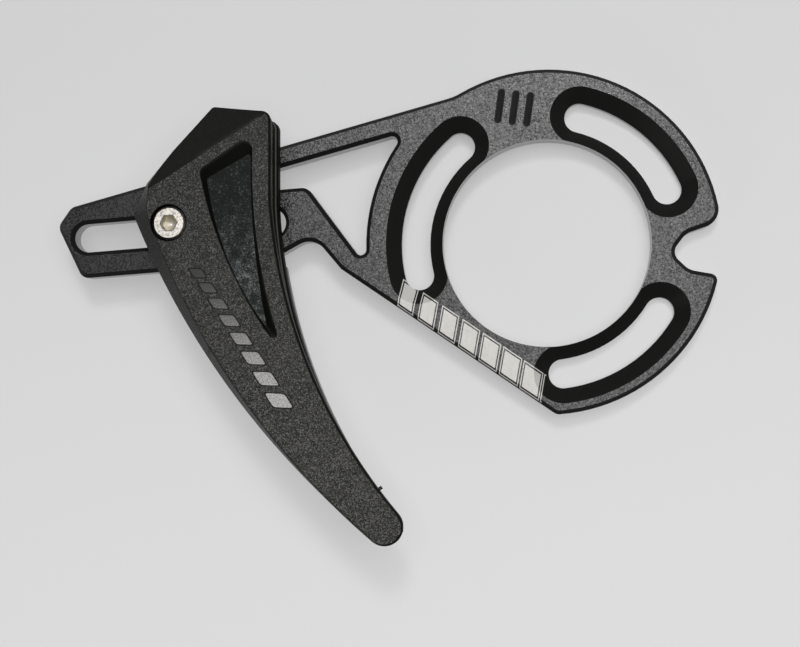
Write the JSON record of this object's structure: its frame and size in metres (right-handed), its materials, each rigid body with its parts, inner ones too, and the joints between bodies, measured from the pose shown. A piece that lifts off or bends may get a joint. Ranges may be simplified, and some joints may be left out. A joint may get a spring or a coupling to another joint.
{
  "type": "bicycle chain guide",
  "caption": "Flat slotted bottom-bracket plate with a ring and a long arm carrying a moulded two-shell chain guide that slides along the arm and is clamped by a screw.",
  "frame": {"origin": "bottom-bracket axis at the back plate's rear face", "axes": "+Z along the bottom-bracket axis away from the frame, X along the arm's clamp slot with the arm pointing to -X, +Y up in the picture"},
  "size_m": [0.1426, 0.0974, 0.0244],
  "materials": {
    "anodised_plate": "black anodised, bead blasted",
    "moulded_shell": "spark-eroded texture",
    "steel": "bright plated",
    "lock_polymer": "plain"
  },
  "bodies": {
    "plate": {"back_plate": "anodised_plate"},
    "guide": {"outer_guide_shell": "moulded_shell", "inner_guide_shell": "moulded_shell", "clamp_bolt": "steel", "clamp_washer": "steel", "clamp_nut": "steel", "nut_lock_ring": "lock_polymer"}
  },
  "joints": [
    {"name": "guide_slide", "type": "slide", "parent": "plate", "child": "guide", "axis": [1, 0, 0], "range_m": [-0.0185, 0.01]}
  ]
}
